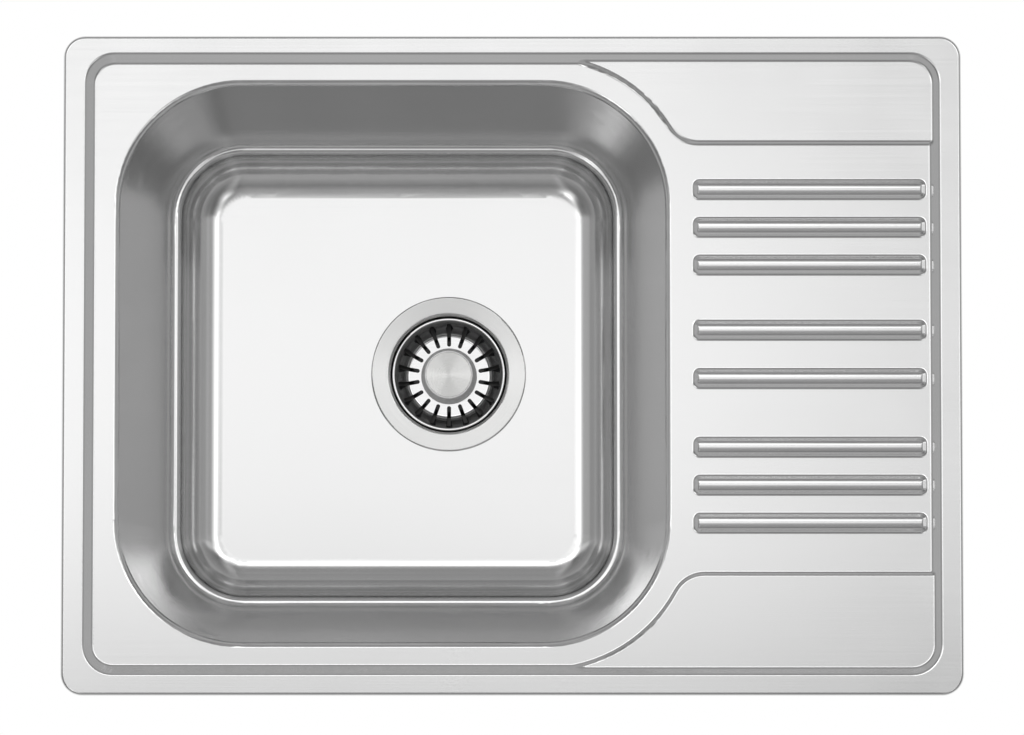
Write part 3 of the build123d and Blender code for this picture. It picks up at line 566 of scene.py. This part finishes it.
# ---- floor ----
FLOOR_SIZE = 12.0
bpy.ops.mesh.primitive_plane_add(size=FLOOR_SIZE, location=(0, 0, cad_low[2]))
floor = bpy.context.object
floor.name = "floor"
made, t = material("floor")
path = t.add("ShaderNodeLightPath")
seen = t.math("MAXIMUM", path.outputs["Is Camera Ray"], path.outputs["Is Glossy Ray"])
seen = t.math("MAXIMUM", seen, path.outputs["Is Transmission Ray"])
matte = t.add("ShaderNodeBsdfDiffuse", {"Color": (0.86, 0.86, 0.86, 1)})
glow = t.add("ShaderNodeEmission", {"Color": (1, 1, 1, 1), "Strength": 1.0})
mix = t.add("ShaderNodeMixShader", {0: seen, 1: matte.outputs[0], 2: glow.outputs[0]})
# seen from below, the floor lets the part show
under = t.add("ShaderNodeNewGeometry").outputs["Backfacing"]
clear = t.add("ShaderNodeBsdfTransparent")
mix = t.add("ShaderNodeMixShader", {0: under, 1: mix.outputs[0], 2: clear.outputs[0]})
t.add("ShaderNodeOutputMaterial", {"Surface": mix.outputs[0]})
floor.data.materials.append(made)
floor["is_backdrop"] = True

# ---- world ----
# brightness of the softbox overhead, by the slope of the ray to the right and to the back
SIDE_LIGHT = [
    (-2.0, 0.02), (-1.3, 0.12), (-0.9, 0.36), (-0.65, 0.46), (-0.5, 0.48), (-0.44, 0.7), (-0.37, 1.3),
    (-0.28, 1.9), (-0.2, 1.45), (-0.12, 1.18), (-0.05, 1.16), (0.0, 1.18), (0.03, 1.21), (0.05, 1.23),
    (0.075, 1.04), (0.1, 0.76), (0.15, 0.85), (0.2, 1.45), (0.28, 1.9), (0.37, 1.4), (0.46, 0.8),
    (0.6, 0.4), (0.9, 0.38), (1.3, 0.16), (2.0, 0.02),
]
BACK_LIGHT = [
    (-2.0, 0.05), (-1.2, 0.16), (-0.6, 0.2), (-0.25, 0.3), (-0.1, 0.4), (-0.02, 0.5), (-0.005, 0.6),
    (0.006, 0.85), (0.016, 0.96), (0.03, 1.03), (0.06, 1.03), (0.1, 1.02), (0.13, 0.97), (0.147, 0.88),
    (0.158, 0.74), (0.175, 0.78), (0.2, 1.0), (0.27, 1.7), (0.35, 1.4), (0.43, 0.32), (0.6, 0.26),
    (0.9, 0.2), (1.3, 0.1), (2.0, 0.02),
]
# light of the room, by the ray's height from the horizon (0) to straight up (1)
ROOM_LIGHT = [(0.0, 0.45), (0.2, 0.43), (0.4, 0.36), (0.55, 0.24), (0.7, 0.12), (0.85, 0.0), (1.0, 0.0)]
# round patches on the diagonals: how far out, how wide, and the shares that all, the side's sign,
# the back's sign and both signs together have in a patch's brightness
PATCHES = [
    (0.42, 0.13, (0.14, -0.15, -0.34, 0.05)),
    (0.28, 0.09, (0.45, 0.0, -0.9, 0.45)),
]
BRIGHTEST = 2.4  # limit of the light in reflections
DIFFUSE_LIGHT = (0.9, 0.9, 0.9)
LEAST_HEIGHT = 0.02  # of a ray, so that its slope stays finite
world = bpy.data.worlds.new("studio")
bpy.context.scene.world = world
world.use_nodes = True
world.cycles.sampling_method = "NONE"
t = Tree(world.node_tree)
path = t.add("ShaderNodeLightPath")
place = t.add("ShaderNodeTexCoord")
split = t.add("ShaderNodeSeparateXYZ", {0: place.outputs["Generated"]})
height = split.outputs[2]
up = t.math("MAXIMUM", height, LEAST_HEIGHT)
side = t.math("DIVIDE", split.outputs[0], up)
back = t.math("DIVIDE", split.outputs[1], up)
ceiling = t.math("MULTIPLY", curve(t, side, SIDE_LIGHT), curve(t, back, BACK_LIGHT))
total = t.math("ADD", ceiling, curve(t, height, ROOM_LIGHT))
side_sign, back_sign = t.math("SIGN", side), t.math("SIGN", back)
for out, wide, shares in PATCHES:
    off_x = t.math("SUBTRACT", t.math("ABSOLUTE", side), out)
    off_y = t.math("SUBTRACT", t.math("ABSOLUTE", back), out)
    away = t.math("ADD", t.math("MULTIPLY", off_x, off_x), t.math("MULTIPLY", off_y, off_y))
    patch = t.math("EXPONENT", t.math("MULTIPLY", away, -1 / wide**2))
    level = t.math("ADD", t.math("MULTIPLY", side_sign, shares[1]), shares[0])
    level = t.math("ADD", level, t.math("MULTIPLY", back_sign, shares[2]))
    both = t.math("MULTIPLY", side_sign, back_sign)
    level = t.math("ADD", level, t.math("MULTIPLY", both, shares[3]))
    total = t.math("ADD", total, t.math("MULTIPLY", patch, level))
total = t.math("MINIMUM", t.math("MAXIMUM", total, 0.0), BRIGHTEST)
grey = t.add("ShaderNodeCombineColor", {0: total, 1: total, 2: total})
light = t.blend(path.outputs["Is Glossy Ray"], DIFFUSE_LIGHT, grey.outputs[0])
seen = t.blend(path.outputs["Is Camera Ray"], light, (1, 1, 1))
background = t.add("ShaderNodeBackground", {0: seen, 1: 1.0})
t.add("ShaderNodeOutputWorld", {0: background.outputs[0]})

bpy.context.scene.view_settings.view_transform = "Standard"

low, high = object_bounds()
